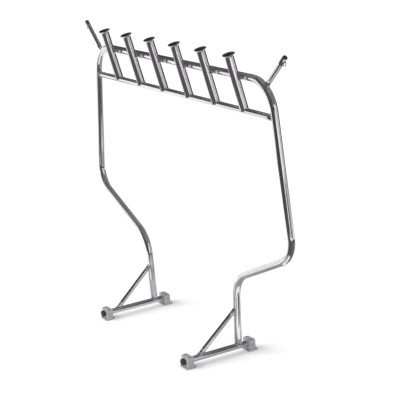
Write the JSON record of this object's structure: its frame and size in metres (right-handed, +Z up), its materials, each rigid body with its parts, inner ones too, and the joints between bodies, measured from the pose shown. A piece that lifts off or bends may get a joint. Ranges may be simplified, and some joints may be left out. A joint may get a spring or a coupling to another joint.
{
  "type": "trolling rod rack",
  "caption": "Polished tube arch on clamp feet with a row of lined, flared rod holders on a cross rail and a short arm with a line eye at each top corner.",
  "frame": {"origin": "on the deck, midway between the two sides and midway from front to back", "axes": "+X along the row of rod holders, +Y from front to back, +Z up"},
  "size_m": [2.09, 0.443, 1.6317],
  "materials": {
    "tube": "mirror-polished",
    "foot": "satin",
    "screw": "satin",
    "liner": "matt",
    "plug": "satin"
  },
  "bodies": {
    "rack": {"arch_tube": "tube", "cross_rail": "tube", "rod_holder_1": "tube", "rod_holder_2": "tube", "rod_holder_3": "tube", "rod_holder_4": "tube", "rod_holder_5": "tube", "rod_holder_6": "tube", "holder_liner_1": "liner", "holder_liner_2": "liner", "holder_liner_3": "liner", "holder_liner_4": "liner", "holder_liner_5": "liner", "holder_liner_6": "liner", "arm_left": "tube", "arm_right": "tube", "arm_cap_left": "plug", "arm_cap_right": "plug", "arm_eye_left": "tube", "arm_eye_right": "tube", "base_rail_left": "tube", "base_rail_right": "tube", "brace_left": "tube", "brace_right": "tube", "rail_plug_front_left": "plug", "rail_plug_rear_left": "plug", "rail_plug_front_right": "plug", "rail_plug_rear_right": "plug"},
    "foot_front_left": {"foot_saddle_front_left": "foot", "foot_cap_front_left": "foot", "foot_screws_front_left": "screw"},
    "foot_rear_left": {"foot_saddle_rear_left": "foot", "foot_cap_rear_left": "foot", "foot_screws_rear_left": "screw"},
    "foot_front_right": {"foot_saddle_front_right": "foot", "foot_cap_front_right": "foot", "foot_screws_front_right": "screw"},
    "foot_rear_right": {"foot_saddle_rear_right": "foot", "foot_cap_rear_right": "foot", "foot_screws_rear_right": "screw"}
  },
  "joints": [
    {"name": "foot_slide_front_left", "type": "slide", "parent": "rack", "child": "foot_front_left", "axis": [0, 1, 0], "range_m": [-0.003, 0.03]},
    {"name": "foot_slide_rear_left", "type": "slide", "parent": "rack", "child": "foot_rear_left", "axis": [0, 1, 0], "range_m": [-0.028, 0.007]},
    {"name": "foot_slide_front_right", "type": "slide", "parent": "rack", "child": "foot_front_right", "axis": [0, 1, 0], "range_m": [-0.003, 0.03]},
    {"name": "foot_slide_rear_right", "type": "slide", "parent": "rack", "child": "foot_rear_right", "axis": [0, 1, 0], "range_m": [-0.028, 0.007]}
  ]
}
